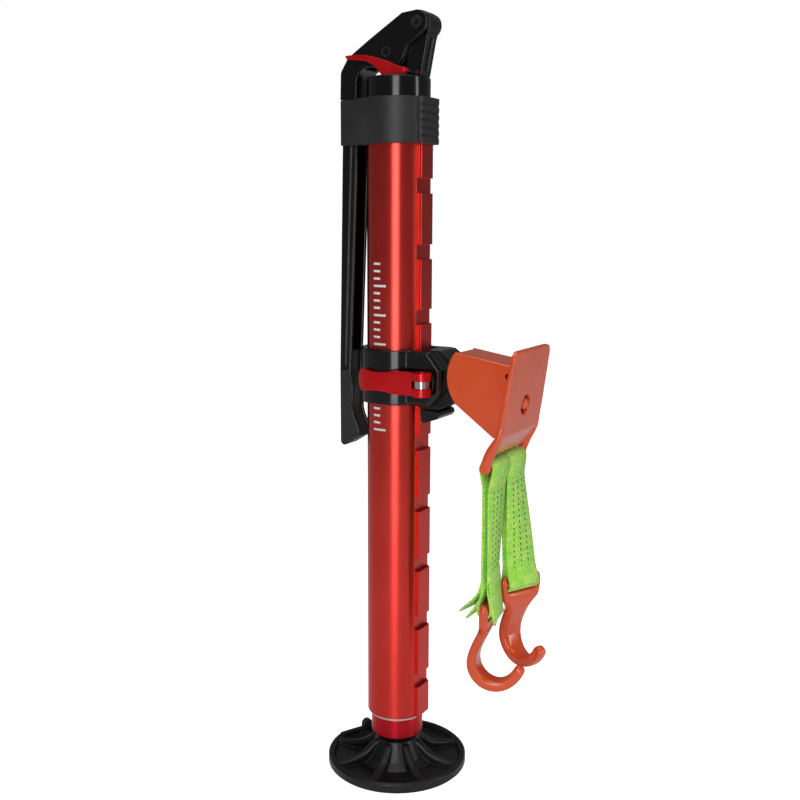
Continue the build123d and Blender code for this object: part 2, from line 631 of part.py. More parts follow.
def boss_bracket():
    """Cross web inside the arm that carries the boss behind the plate's hole."""
    return seated(box(BRACKET_A - 4, BRACKET_A, -ARM_IN, ARM_IN, BOSS_B - 11, BOSS_B + 11))


def toe_hinge_pin():
    return rod_y(HINGE_PIN_R, TOE_X, TOE_Z, -PIN_REACH, PIN_REACH)


# ---- straps and hooks ----
def slot_bar():
    angle = radians(TOE_DROOP)
    x = TOE_X + SLOT_BAR_A * cos(angle) + SLOT_BAR_B * sin(angle)
    z = TOE_Z - SLOT_BAR_A * sin(angle) + SLOT_BAR_B * cos(angle)
    return x, z


def strap(side, eye):
    """Webbing loop: round the toe's slot bar at the top and the hook's eye bar at the bottom."""
    eye_x, eye_y, eye_z, yaw = eye
    bar_x_mm, bar_z = slot_bar()
    y = side * STRAP_Y
    top_in = SLOT_BAR_R + FIT
    eye_in = HOOK_EYE_R + FIT
    bar_place = Pos(bar_x_mm, y, bar_z) * Rot(90, 0, 0)
    eye_place = Pos(eye_x, eye_y, eye_z) * Rot(0, 0, yaw) * Rot(90, 0, 0)
    layers = Rectangle(WEB_SLAB, WEB_WIDTH - 0.4)
    upper = Pos(bar_x_mm, y, bar_z - top_in - 1) * layers
    lower = Pos(eye_x, eye_y, eye_z + eye_in + 1) * Rot(0, 0, yaw) * layers
    body = loft([lower, upper], ruled=True)
    body += bar_place * (Cylinder(top_in + WEB_THICK, WEB_WIDTH) - Cylinder(top_in, WEB_WIDTH))
    return body + eye_place * (Cylinder(eye_in + WEB_THICK, WEB_WIDTH) - Cylinder(eye_in, WEB_WIDTH))


def hook(eye):
    """Flat forged hook: a slotted head for the webbing, a narrowing shank and a J that ends in a ball."""
    eye_x, eye_y, eye_z, yaw = eye
    centre = Spline(
        (0, -12), (-4, -24), (-9.5, -37), (-12.5, -50), (-8.5, -62.5), (3, -69.5), (17, -67), (26, -57.5),
        tangents=[(-0.3, -1), (0.5, 1)],
    )
    path = trace(centre, HOOK_THICK)
    body = side_prism(path, -HOOK_WIDTH / 2, HOOK_WIDTH / 2)
    neck, low, tip = HOOK_NECK / 2, 8.5, 5.0
    reach = HOOK_WIDTH / 2 + 2
    outline = Polygon(
        (-reach, 5), (-HOOK_WIDTH / 2, 5), (-HOOK_WIDTH / 2, -12), (-neck, -27), (-neck, -50),
        (-low, -70), (-low, -90), (low, -90), (low, -70), (neck, -50), (neck, -27),
        (HOOK_WIDTH / 2, -12), (HOOK_WIDTH / 2, 5), align=None,
    )
    body &= front_prism(outline, -40, 40)
    ramp = Polygon((6, -95), (36, -95), (36, -40), (6, -40), align=None)
    keep = Polygon((6, -low), (36, -tip), (36, tip), (6, low), align=None)
    nose = side_prism(ramp, -30, 30) - Pos(0, 0, -100) * extrude(keep, 70)
    body -= nose
    body += Pos(26.5, 0, -56.5) * Sphere(5.0)
    head = Pos(0, 0, -5.4) * Box(HOOK_THICK, HOOK_WIDTH, 22)
    head = fillet(head.edges().filter_by(Axis.X), 4.0)
    eye_in = HOOK_EYE_R + FIT
    slot_foot = -(eye_in + WEB_THICK + 0.4) - HOOK_EYE_R
    head -= box(-20, 20, -(WEB_WIDTH + 1) / 2, (WEB_WIDTH + 1) / 2, slot_foot, 20)
    body += head
    body += rod_y(HOOK_EYE_R, 0, 0, -HOOK_WIDTH / 2, HOOK_WIDTH / 2)
    return Pos(eye_x, eye_y, eye_z) * Rot(0, 0, yaw) * body


# ---- write every piece ----
write("foot_plate", foot_plate())
write("ball_seat", ball_seat())
write("seat_ring", seat_ring())
write("ball_stud", ball_stud())
write("foot_cap", foot_cap())
write("ram_tube", ram_tube())
write("ram_piston", ram_piston())
write("piston_seal", piston_seal())
write("piston_guide", piston_guide())

write("barrel", barrel())
write("gland_ring", gland_ring())
write("rod_wiper", rod_wiper())
write("rod_seal", rod_seal())
write("pump_head", pump_head())
write("head_seal", head_seal())
write("pump_liner", pump_liner())
valve_ball, valve_spring = check_valve_parts()
write("valve_ball", valve_ball)
write("valve_spring", valve_spring)
write("filler_plug", filler_plug())
write("handle_mast", handle_mast())
write("mast_pin", mast_pin())
write("pin_clips", pin_clips())
write("handle_clip", handle_clip())

write("release_lever", release_lever())
write("lever_screw", lever_screw())
write("lever_spacer", lever_spacer())

write("handle_head", handle_head())
write("handle_bar", handle_bar())
write("handle_rivets", handle_rivets())
write("handle_grip", handle_grip())
write("pump_plunger", pump_plunger())
write("plunger_seal", plunger_seal())
write("drive_pin", drive_pin())

write("carriage_band", carriage_band())
write("carriage_block", carriage_block())
write("latch_springs", latch_springs())
write("latch_plate", latch_plate())
write("cam_washer", cam_washer())
write("tension_bolt", tension_bolt())
write("bolt_nut", bolt_nut())
write("cam_lever", cam_lever())
write("cam_pin", cam_pin())

write("toe_arm", toe_arm())
write("toe_plate", toe_plate())
write("toe_boss", toe_boss())
write("boss_bracket", boss_bracket())
write("toe_hinge_pin", toe_hinge_pin())

write("left_strap", strap(-1, LEFT_EYE))
write("right_strap", strap(1, RIGHT_EYE))
write("left_hook", hook(LEFT_EYE))
write("right_hook", hook(RIGHT_EYE))
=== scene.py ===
import json
import math

import bmesh
import bpy
from mathutils import Matrix, Vector


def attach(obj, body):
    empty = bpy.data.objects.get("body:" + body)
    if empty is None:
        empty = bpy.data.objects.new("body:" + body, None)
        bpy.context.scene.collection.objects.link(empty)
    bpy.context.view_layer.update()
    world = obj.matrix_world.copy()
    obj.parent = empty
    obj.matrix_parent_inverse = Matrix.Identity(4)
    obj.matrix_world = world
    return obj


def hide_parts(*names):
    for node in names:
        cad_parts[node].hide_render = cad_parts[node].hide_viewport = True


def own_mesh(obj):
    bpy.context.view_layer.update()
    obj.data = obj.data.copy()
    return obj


# The look of a toe jack. Metres, in the CAD model's frame: +Z up the barrel, +X towards the toe.

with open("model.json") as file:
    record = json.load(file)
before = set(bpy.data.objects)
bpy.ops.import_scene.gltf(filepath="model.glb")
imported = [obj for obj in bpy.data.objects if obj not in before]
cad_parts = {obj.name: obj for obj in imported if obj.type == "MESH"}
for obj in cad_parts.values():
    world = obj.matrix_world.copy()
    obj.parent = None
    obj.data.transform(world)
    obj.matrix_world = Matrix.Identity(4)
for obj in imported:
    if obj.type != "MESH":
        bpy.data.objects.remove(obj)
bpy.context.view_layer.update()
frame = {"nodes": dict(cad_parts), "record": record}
nodes = frame["nodes"]
scene = bpy.context.scene

# the shapes' dimensions are in millimetres; shading distances, voxels, floor, lights and camera are in metres
MM = 0.001
BARREL_R = 27.0
WEB_WIDTH = 33.0
WEB_THICK = 2.3
TOE_PIN = (78.0, 372.0)         # x and z of the toe's hinge
TOE_DROOP = math.radians(8.7)
SLOT_BAR = (35.5, -68.0)        # out from the hinge, and height from it
SLOT_BAR_R = 4.7                # inner radius of the strap's loop at the slot bar
EYE_R = 4.3                     # inner radius of its loop at the hook's eye
STRAP_Y = 17.2                  # middle of each strap, either side of the centre plane
STRAP_LAY = 1.3 + WEB_THICK / 2  # from the strap's middle plane to the middle of each layer
# the hooks' eye bars: x, y, z and yaw in degrees
LEFT_EYE = (102.0, -22.6, 178.0, 11.0)
RIGHT_EYE = (112.5, 19.5, 188.5, -26.0)


# ---- shader helpers ----
class Shader:
    """Builds one node material; inputs are constants or sockets."""

    def __init__(self, name):
        self.material = bpy.data.materials.new(name)
        self.material.use_nodes = True
        self.tree = self.material.node_tree
        self.bsdf = self.tree.nodes["Principled BSDF"]

    def node(self, kind, **settings):
        made = self.tree.nodes.new(kind)
        for key, value in settings.items():
            setattr(made, key, value)
        return made

    def feed(self, socket, value):
        if isinstance(value, bpy.types.NodeSocket):
            self.tree.links.new(value, socket)
        else:
            socket.default_value = value

    def set(self, **values):
        for key, value in values.items():
            name = key.replace("_", " ").title().replace("Ior", "IOR")
            self.feed(self.bsdf.inputs[name], value)
        return self

    def place(self, scale=(1, 1, 1)):
        coords = self.node("ShaderNodeTexCoord").outputs["Object"]
        mapping = self.node("ShaderNodeMapping")
        self.feed(mapping.inputs["Vector"], coords)
        self.feed(mapping.inputs["Scale"], scale)
        return mapping.outputs["Vector"]

    def noise(self, scale, detail=3.0, stretch=(1, 1, 1)):
        made = self.node("ShaderNodeTexNoise")
        self.feed(made.inputs["Vector"], self.place(stretch))
        self.feed(made.inputs["Scale"], scale)
        self.feed(made.inputs["Detail"], detail)
        return made.outputs["Fac"]

    def ramp(self, value, low, high, out_low=0.0, out_high=1.0):
        made = self.node("ShaderNodeMapRange")
        self.feed(made.inputs["Value"], value)
        self.feed(made.inputs["From Min"], low)
        self.feed(made.inputs["From Max"], high)
        self.feed(made.inputs["To Min"], out_low)
        self.feed(made.inputs["To Max"], out_high)
        return made.outputs["Result"]

    def mix(self, share, first, second):
        made = self.node("ShaderNodeMix", data_type="RGBA")
        self.feed(made.inputs[0], share)
        self.feed(made.inputs[6], first)
        self.feed(made.inputs[7], second)
        return made.outputs[2]

    def maths(self, operation, a, b=0.0):
        made = self.node("ShaderNodeMath", operation=operation)
        self.feed(made.inputs[0], a)
        self.feed(made.inputs[1], b)
        return made.outputs[0]

    def surface(self, height=None, depth=0.0, rounding=0.0006):
        """Rounds the edges in the shading, and adds a fine relief."""
        bevel = self.node("ShaderNodeBevel", samples=6)
        self.feed(bevel.inputs["Radius"], rounding)
        normal = bevel.outputs["Normal"]
        if height is not None:
            bump = self.node("ShaderNodeBump")
            self.feed(bump.inputs["Height"], height)
            self.feed(bump.inputs["Distance"], depth)
            self.feed(bump.inputs["Normal"], normal)
            normal = bump.outputs["Normal"]
        return self.set(normal=normal)

    def edges(self, radius, scale, share):
        """Near an edge, and broken up by a noise: where the orange paint is rubbed, and where the black
        finishes are lightened, partly as rubbed paint and partly as a painted edge highlight.
        """
        bevel = self.node("ShaderNodeBevel", samples=4)
        self.feed(bevel.inputs["Radius"], radius)
        flat = self.node("ShaderNodeNewGeometry").outputs["Normal"]
        facing = self.node("ShaderNodeVectorMath", operation="DOT_PRODUCT")
        self.feed(facing.inputs[0], bevel.outputs["Normal"])
        self.feed(facing.inputs[1], flat)
        near = self.ramp(facing.outputs["Value"], 0.86, 0.98, 1.0, 0.0)
        broken = self.ramp(self.noise(scale, 5.0), 1 - share, 1.15 - share)
        return self.maths("MULTIPLY", near, broken)


def rgb(red, green, blue):
    return (red, green, blue, 1.0)


def anodised(name, first, second, rough):
    """Anodised alloy; its fine turning lines run round the axis, so highlights stretch along it."""
    shader = Shader(name)
    lines = shader.noise(40.0, 4.0, (60, 60, 0.4))
    cloud = shader.noise(14.0, 3.0)
    colour = shader.mix(shader.ramp(cloud, 0.35, 0.65), rgb(*first), rgb(*second))
    shader.set(base_color=colour, metallic=1.0, roughness=shader.ramp(lines, 0.3, 0.7, rough, rough + 0.07))
    shader.set(anisotropic=0.8, anisotropic_rotation=0.25)
    tangent = shader.node("ShaderNodeTangent", direction_type="RADIAL", axis="Z")
    shader.set(tangent=tangent.outputs["Tangent"])
    return shader.surface(lines, 0.00001, 0.0005).material


def satin_black(name, shade, rough, grain=0.00002, rounding=0.0012, gleam=0.4):
    shader = Shader(name)
    fine = shader.noise(900.0, 2.0)
    rub = shader.noise(28.0, 5.0)
    pale = shade * 1.7
    colour = shader.mix(shader.ramp(rub, 0.55, 0.8), rgb(shade, shade, shade), rgb(pale, pale, pale * 1.05))
    # lighter near the edges: partly rubbed paint, partly a painted highlight standing in for edge glints
    colour = shader.mix(shader.edges(0.0008, 60.0, 0.62), colour, rgb(0.05, 0.05, 0.052))
    shader.set(base_color=colour, roughness=shader.ramp(rub, 0.3, 0.8, rough, rough + 0.1))
    shader.set(specular_ior_level=gleam)
    return shader.surface(fine, grain, rounding).material


def orange_enamel():
    shader = Shader("orange_enamel")
    peel = shader.noise(420.0, 2.0)
    cloud = shader.noise(30.0, 4.0)
    colour = shader.mix(shader.ramp(cloud, 0.35, 0.7), rgb(0.66, 0.066, 0.010), rgb(0.72, 0.084, 0.013))
    chip = shader.ramp(shader.noise(160.0, 6.0), 0.70, 0.73)
    colour = shader.mix(chip, colour, rgb(0.42, 0.06, 0.02))
    colour = shader.mix(shader.edges(0.0007, 45.0, 0.42), colour, rgb(0.30, 0.07, 0.03))
    shader.set(base_color=colour, roughness=shader.ramp(cloud, 0.3, 0.7, 0.17, 0.27))
    shader.set(coat_weight=0.45, coat_roughness=0.07)
    return shader.surface(peel, 0.00005, 0.0016).material


def red_lever_paint():
    shader = Shader("red_lever_paint")
    cloud = shader.noise(60.0, 4.0)
    colour = shader.mix(shader.ramp(cloud, 0.35, 0.7), rgb(0.66, 0.006, 0.010), rgb(0.74, 0.010, 0.014))
    shader.set(base_color=colour, metallic=0.6, roughness=shader.ramp(cloud, 0.3, 0.7, 0.2, 0.3))
    return shader.surface(shader.noise(500.0, 2.0), 0.00002, 0.0009).material


def turned_metal(name, colour, rough, rounding=0.0004):
    shader = Shader(name)
    rings = shader.noise(30.0, 3.0, (0.6, 0.6, 60))
    spread = shader.ramp(rings, 0.3, 0.7, rough, rough + 0.12)
    shader.set(base_color=rgb(*colour), metallic=1.0, roughness=spread)
    return shader.surface(rings, 0.00001, rounding).material


def cast_foot():
    shader = Shader("cast_foot")
    sand = shader.noise(700.0, 4.0)
    cloud = shader.noise(35.0, 5.0)
    colour = shader.mix(shader.ramp(cloud, 0.4, 0.75), rgb(0.005, 0.005, 0.0053), rgb(0.012, 0.012, 0.0125))
    # lighter near the edges: partly rubbed casting, partly a painted highlight standing in for edge glints
    colour = shader.mix(shader.edges(0.0009, 50.0, 0.55), colour, rgb(0.035, 0.035, 0.036))
    shader.set(base_color=colour, roughness=shader.ramp(cloud, 0.3, 0.75, 0.3, 0.44))
    shader.set(specular_ior_level=0.36)
    return shader.surface(sand, 0.00008, 0.0018).material


def plain(name, colour, metallic, rough):
    shader = Shader(name)
    shader.set(base_color=rgb(*colour), metallic=metallic, roughness=rough)
    return shader.surface(shader.noise(300.0, 2.0), 0.00001, 0.0003).material


PICK, END = 2.1, 1.7             # spacing of the threads along and across the webbing
MARKER = 31.0                    # spacing of the darker lines across it


def webbing():
    """Twill webbing: uv.x runs across the strap and uv.y along it, both in millimetres."""
    shader = Shader("green_webbing")
    uv = shader.node("ShaderNodeUVMap", uv_map="weave").outputs["UV"]
    split = shader.node("ShaderNodeSeparateXYZ")
    shader.feed(split.inputs[0], uv)
    across, along = split.outputs[0], split.outputs[1]
    wander = shader.ramp(shader.noise(90.0, 2.0), 0.3, 0.7, -0.25, 0.25)
    across = shader.maths("ADD", across, wander)
    picks = shader.maths("SINE", shader.maths("MULTIPLY", along, 2 * math.pi / PICK))
    ends = shader.maths("SINE", shader.maths("MULTIPLY", across, 2 * math.pi / END))
    slant = shader.maths("ADD", shader.maths("MULTIPLY", across, 1.5), shader.maths("MULTIPLY", along, 1.8))
    twill = shader.maths("SINE", slant)
    relief = shader.maths("ADD", shader.maths("MULTIPLY", picks, 0.5), shader.maths("MULTIPLY", ends, 0.4))
    relief = shader.maths("ADD", relief, shader.maths("MULTIPLY", twill, 0.3))
    mottle = shader.noise(120.0, 5.0)
    colour = shader.mix(shader.ramp(mottle, 0.38, 0.62), rgb(0.32, 0.88, 0.055), rgb(0.60, 0.96, 0.13))
    checks = shader.ramp(shader.noise(420.0, 2.0), 0.56, 0.66, 0.0, 0.45)
    colour = shader.mix(checks, colour, rgb(0.70, 0.88, 0.12))
    # darker where the weave's relief is low: painted shade in the hollows between the threads
    colour = shader.mix(shader.ramp(relief, -1.0, -0.1, 0.6, 0.0), colour, rgb(0.13, 0.52, 0.04))
    band = shader.maths("SINE", shader.maths("MULTIPLY", along, 2 * math.pi / MARKER))
    colour = shader.mix(shader.ramp(band, 0.988, 0.998, 0.0, 0.4), colour, rgb(0.12, 0.55, 0.25))
    shader.set(base_color=colour, roughness=0.7)
    shader.set(sheen_weight=0.3, subsurface_weight=0.1, subsurface_radius=(0.002, 0.004, 0.001))
    bump = shader.node("ShaderNodeBump")
    shader.feed(bump.inputs["Height"], relief)
    shader.feed(bump.inputs["Distance"], 0.0004)
    shader.set(normal=bump.outputs["Normal"])
    return shader.material


LOOKS = {
    "red_anodised": anodised("anodised_red", (0.72, 0.050, 0.040), (0.78, 0.062, 0.048), 0.27),
    "crimson": anodised("anodised_crimson", (0.60, 0.016, 0.028), (0.66, 0.022, 0.032), 0.24),
    "bare_alloy": turned_metal("bare_alloy", (0.62, 0.61, 0.6), 0.24),
    "black_paint": satin_black("gloss_black", 0.002, 0.1, 0.00001, 0.0018, 0.45),
    "orange_paint": orange_enamel(),
    "red_paint": red_lever_paint(),
    "black_moulding": satin_black("moulded_black", 0.018, 0.42, 0.00003, 0.0009),
    "black_steel": satin_black("blackened_steel", 0.004, 0.16, 0.00002, 0.001, 0.38),
    "chromed_steel": plain("chromed_steel", (0.62, 0.62, 0.64), 1.0, 0.12),
    "plain_steel": plain("plain_steel", (0.4, 0.4, 0.41), 1.0, 0.3),
    "foot_casting": cast_foot(),
    "seal_rubber": plain("seal_rubber", (0.02, 0.02, 0.02), 0.0, 0.6),
    "bronze": plain("bronze", (0.5, 0.32, 0.14), 1.0, 0.35),
    "green_webbing": webbing(),
}
MARKING = plain("white_marking", (0.86, 0.86, 0.84), 0.0, 0.5)
THREAD = plain("stitch_thread", (0.035, 0.14, 0.03), 0.0, 0.8)

OTHER_LOOKS = {
    "mast_pin": "black_steel", "lever_spacer": "black_steel", "handle_rivets": "black_steel",
    "pin_clips": "black_steel", "lever_screw": "red_paint", "foot_cap": "crimson",
    "tension_bolt": "chromed_steel",
}

for part in frame["record"]["subparts"]:
    mesh = nodes[part["node"]].data
    mesh.materials.clear()
    mesh.materials.append(LOOKS[OTHER_LOOKS.get(part["node"], part["material_slot"])])


# ---- mesh helpers ----
def add_mesh(name, verts, faces, material, body, smooth=True):
    mesh = bpy.data.meshes.new(name)
    mesh.from_pydata([Vector(v) * MM for v in verts], [], faces)
    mesh.update()
    mesh.materials.append(material)
    for polygon in mesh.polygons:
        polygon.use_smooth = smooth
    obj = bpy.data.objects.new(name, mesh)
    scene.collection.objects.link(obj)
    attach(obj, body)
    return obj


def toe_point(a, b, y=0.0):
    """A point given level about the toe's hinge, at the toe's hanging angle."""
    c, s = math.cos(TOE_DROOP), math.sin(TOE_DROOP)
    return Vector((TOE_PIN[0] + a * c + b * s, y, TOE_PIN[1] - a * s + b * c))


def box_verts(centre, along, across, normal, length, width, height):
    """A small bar with chamfered ends, as the corners of two nested rectangles."""
    verts = []
    for lift, inset in ((0.0, 0.0), (height, 0.25 * min(length, width))):
        for u, v in ((-1, -1), (1, -1), (1, 1), (-1, 1)):
            verts.append(
                centre
                + along * u * (length / 2 - inset)
                + across * v * (width / 2 - inset)
                + normal * lift
            )
    return verts


BAR_FACES = [(3, 2, 1, 0), (4, 5, 6, 7), (0, 1, 5, 4), (1, 2, 6, 5), (2, 3, 7, 6), (3, 0, 4, 7)]


def add_bars(name, bars, material, body):
    verts, faces = [], []
    for bar in bars:
        start = len(verts)
        verts += box_verts(*bar)
        faces += [tuple(start + i for i in face) for face in BAR_FACES]
    return add_mesh(name, verts, faces, material, body, smooth=False)


# ---- graduation on the barrel ----
TICKS = 24
TICK_Z0 = 320
TICK_PITCH = 6.2
TICK_START = -111.0              # azimuth of every tick's first end, degrees
LONG_TICK, SHORT_TICK = 13.0, 7.5


def graduation():
    bars = []
    steps = 6
    for index in range(TICKS):
        width = SHORT_TICK if index % 4 else LONG_TICK
        middle = math.radians(TICK_START + math.degrees(width / 2 / BARREL_R))
        for step in range(steps):
            angle = middle + ((step + 0.5) / steps - 0.5) * width / BARREL_R
            out = Vector((math.cos(angle), math.sin(angle), 0))
            side = Vector((-math.sin(angle), math.cos(angle), 0))
            centre = out * (BARREL_R - 0.02) + Vector((0, 0, TICK_Z0 + index * TICK_PITCH))
            bars.append((centre, side, Vector((0, 0, 1)), out, width / steps + 0.02, 2.1, 0.12))
    add_bars("barrel_graduation", bars, MARKING, "body")


graduation()


# ---- webbing straps ----
RIBBON_CORNERS = 8               # corners of the webbing's cross-section
STITCH_ROWS = (-8.0, 0.0, 8.0)   # across the strap
STITCH_PITCH = 5.0
SEAM = (0.08, 0.9)               # shares of the strap where its seams start and end
TAIL_LAY = STRAP_LAY + WEB_THICK + 0.1
LEFT_TAILS = [
    # name, share of the strap where it starts, offset, flare, length, skew of the cut, twist in degrees
    ("left_front_tail", 0.84, TAIL_LAY, 4.5, 30.0, -9.0, 0.0),
    ("left_back_tail", 0.86, -TAIL_LAY, 11.0, 19.0, 6.0, -26.0),
    ("left_inner_tail", 0.88, WEB_THICK - TAIL_LAY, 7.5, 19.0, 5.0, -14.0),
]


def strap_frame(top, eye, share):
    """Centre, normal and crosswise direction of a strap: share 0 at the slot bar, 1 at the hook's eye."""
    x, y, z, yaw = eye
    turn = math.radians(yaw) * (3 * share**2 - 2 * share**3)
    c, s = math.cos(turn), math.sin(turn)
    return top.lerp(Vector((x, y, z)), share), Vector((c, s, 0)), Vector((-s, c, 0))


def ribbon(name, stations, body):
    """A strip of webbing through stations of (centre, crosswise, outward), and its length."""
    half_w, half_t = WEB_WIDTH / 2, WEB_THICK / 2
    corner = 0.8
    ring = [
        (-half_w, -half_t + corner), (-half_w + corner, -half_t), (half_w - corner, -half_t),
        (half_w, -half_t + corner), (half_w, half_t - corner), (half_w - corner, half_t),
        (-half_w + corner, half_t), (-half_w, half_t - corner),
    ]
    verts, run = [], [0.0]
    for index, (centre, across, out) in enumerate(stations):
        if index:
            run.append(run[-1] + (centre - stations[index - 1][0]).length)
        verts += [centre + across * u + out * v for u, v in ring]
    size = RIBBON_CORNERS
    faces, uvs = [], []
    for i in range(len(stations) - 1):
        for j in range(size):
            k = (j + 1) % size
            faces.append((i * size + j, i * size + k, (i + 1) * size + k, (i + 1) * size + j))
            near, far = run[i], run[i + 1]
            uvs += [(ring[j][0], near), (ring[k][0], near), (ring[k][0], far), (ring[j][0], far)]
    for i, order in ((0, range(size - 1, -1, -1)), (len(stations) - 1, range(size))):
        faces.append(tuple(i * size + j for j in order))
        uvs += [(ring[j][0], run[i]) for j in order]
    obj = add_mesh(name, verts, faces, LOOKS["green_webbing"], body)
    layer = obj.data.uv_layers.new(name="weave")
    for loop, uv in zip(layer.data, uvs):
        loop.uv = uv
    return obj, run[-1]


def half_turn(middle, across, first, second, radius):
    """Thirteen stations round a bar, from `first` through `second` to the far side."""
    stations = []
    for step in range(13):
        angle = math.pi * step / 12
        out = first * math.cos(angle) + second * math.sin(angle)
        stations.append((middle + out * radius, across, out))
    return stations


def strap_side(top, eye, face, shares, top_r, eye_r):
    """One layer of the strap; it leaves the bars' radii for its own lay within a sixth of the run."""
    stations = []
    for share in shares:
        centre, normal, across = strap_frame(top, eye, share)
        settle = min(1.0, share * 6, (1 - share) * 6)
        ends = top_r if share < 0.5 else eye_r
        offset = ends + (STRAP_LAY - ends) * (3 * settle**2 - 2 * settle**3)
        stations.append((centre + normal * face * offset, across, normal * face))
    return stations


def strap_path(top, eye, top_r, eye_r):
    """Round the slot bar, down the front, round the eye bar and up the back, as a closed run."""
    down = Vector((0, 0, -1))
    steps = 40
    shares = [step / steps for step in range(1, steps)]
    middle, normal, across = strap_frame(top, eye, 0.0)
    stations = half_turn(middle, across, -normal, -down, top_r)
    stations += strap_side(top, eye, 1, shares, top_r, eye_r)
    middle, normal, across = strap_frame(top, eye, 1.0)
    stations += half_turn(middle, across, normal, down, eye_r)
    stations += strap_side(top, eye, -1, shares[::-1], top_r, eye_r)
    return stations


def stitches(name, top, eye, body):
    """Short raised bars of thread, in rows down the front of the strap."""
    bars = []
    start, end = SEAM
    length = (top - Vector(eye[:3])).length
    count = int((end - start) * length / STITCH_PITCH)
    for row in STITCH_ROWS:
        for index in range(count):
            share = start + (index + 0.5) * STITCH_PITCH / length
            centre, normal, across = strap_frame(top, eye, share)
            ahead = strap_frame(top, eye, share + 0.01)[0]
            along = (ahead - centre).normalized()
            spot = centre + normal * (STRAP_LAY + WEB_THICK / 2 - 0.12) + across * row
            bars.append((spot, along, across, normal, STITCH_PITCH * 0.45, 1.2, 0.45))
    return add_bars(name, bars, THREAD, body)


def loose_end(name, top, eye, body, start, lay, flare, length, slant, twist):
    """An end of webbing that leaves the strap below share `start`, flares away from it and twists."""
    stations = []
    steps, sewn = 14, 6
    run = (top - Vector(eye[:3])).length
    for step in range(-sewn, steps + 1):
        reach = max(step, 0) / steps
        share = start + step * length / steps / run
        turn = Matrix.Rotation(math.radians(twist) * reach, 3, "Z")
        normal, across = (turn @ v for v in strap_frame(top, eye, min(share, 1.0))[1:])
        centre = top.lerp(Vector(eye[:3]), share)
        face = math.copysign(1.0, lay)
        settled = min(1.0, (step + sewn) / sewn)
        push = abs(lay) - (1 - settled) * WEB_THICK * 0.9 + flare * reach**1.6
        stations.append((centre + normal * face * push, across * face, normal * face))
    obj = ribbon(name, stations, body)[0]
    cut_slanted(obj, stations, slant)
    return obj


def cut_slanted(obj, stations, slant):
    """Runs one corner of the end on, so that the webbing's cut edge is on the skew."""
    centre, across = stations[-1][:2]
    along = (centre - stations[-2][0]).normalized()
    for vertex in list(obj.data.vertices)[-RIBBON_CORNERS:]:
        sideways = (vertex.co / MM - centre).dot(across)
        vertex.co += along * slant * (sideways / WEB_WIDTH + 0.5) * MM


def build_strap(side, eye, body):
    top = toe_point(*SLOT_BAR, side * STRAP_Y)
    stations = strap_path(top, eye, SLOT_BAR_R + WEB_THICK / 2, EYE_R + WEB_THICK / 2)
    word = "left" if side < 0 else "right"
    obj, length = ribbon(word + "_webbing", stations, body)
    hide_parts(word + "_strap")
    sewn = [stitches(word + "_stitches", top, eye, body)]
    if side < 0:
        sewn += [loose_end(name, top, eye, body, *rest) for name, *rest in LEFT_TAILS]


build_strap(-1, LEFT_EYE, "left_web")
build_strap(1, RIGHT_EYE, "right_web")


# ---- forged hooks ----
HOOK_PATH = [
    # along the strap's normal, height from the eye bar, width, thickness
    (0.4, -7.2, 40.0, 7.0), (0.2, -10.5, 40.6, 8.2), (-0.6, -14.5, 38.4, 8.8), (-2.0, -19.0, 31.0, 8.8),
    (-3.8, -24.0, 25.0, 8.6), (-6.6, -30.0, 23.0, 8.4), (-9.6, -37.0, 22.4, 8.4), (-11.8, -44.0, 22.2, 8.6),
    (-12.4, -51.0, 21.8, 9.2), (-10.6, -58.0, 20.6, 9.8), (-6.0, -64.5, 19.0, 10.2), (0.5, -68.6, 17.2, 10.4),
    (7.5, -69.8, 15.2, 10.2), (14.4, -68.2, 13.0, 10.0), (20.2, -64.4, 11.2, 9.8), (24.6, -59.6, 10.2, 9.6),
    (27.6, -54.6, 9.6, 9.4),
]
HORN = [
    # out from the middle, height from the eye bar, width, thickness: a shoulder that turns up past the bar
    (15.4, -15.0, 8.0, 8.0), (17.2, -10.6, 7.6, 8.0), (18.4, -6.0, 6.6, 7.6), (18.9, -1.0, 6.2, 7.2),
    (18.9, 3.0, 5.8, 6.6), (18.6, 5.4, 4.6, 5.2), (18.5, 6.9, 2.2, 2.6),
]
EYE_BAR = 7.8                    # its diameter
EYE_BAR_ENDS = (-19, 19)


def smooth_run(points, steps):
    """Catmull-Rom through tuples of numbers."""
    run = []
    for i in range(len(points) - 1):
        p0, p1 = points[max(i - 1, 0)], points[i]
        p2, p3 = points[i + 1], points[min(i + 2, len(points) - 1)]
        for step in range(steps):
            t = step / steps
            run.append([
                0.5 * (
                    2 * b + (c - a) * t + (2 * a - 5 * b + 4 * c - d) * t**2
                    + (3 * b - a - 3 * c + d) * t**3
                )
                for a, b, c, d in zip(p0, p1, p2, p3)
            ])
    run.append(list(points[-1]))
    return run


ROUND = 2.0                      # the power of a round section; 4 gives a rounded rectangle


def rounded_ring(centre, side, out, width, thick, power=4.0, count=36):
    """The points of one closed section."""
    ring = []
    for index in range(count):
        angle = 2 * math.pi * index / count
        c, s = math.cos(angle), math.sin(angle)
        u = math.copysign(abs(c) ** (2 / power), c) * width / 2
        v = math.copysign(abs(s) ** (2 / power), s) * thick / 2
        ring.append(centre + side * u + out * v)
    return ring


def tube_mesh(bm, rings):
    loops = [[bm.verts.new(p) for p in ring] for ring in rings]
    count = len(loops[0])
    for first, second in zip(loops, loops[1:]):
        for j in range(count):
            k = (j + 1) % count
            bm.faces.new((first[j], first[k], second[k], second[j]))
    bm.faces.new(list(reversed(loops[0])))
    bm.faces.new(loops[-1])


def heading(points, i):
    """The direction of a run of points at its i-th one."""
    return (points[min(i + 1, len(points) - 1)] - points[max(i - 1, 0)]).normalized()


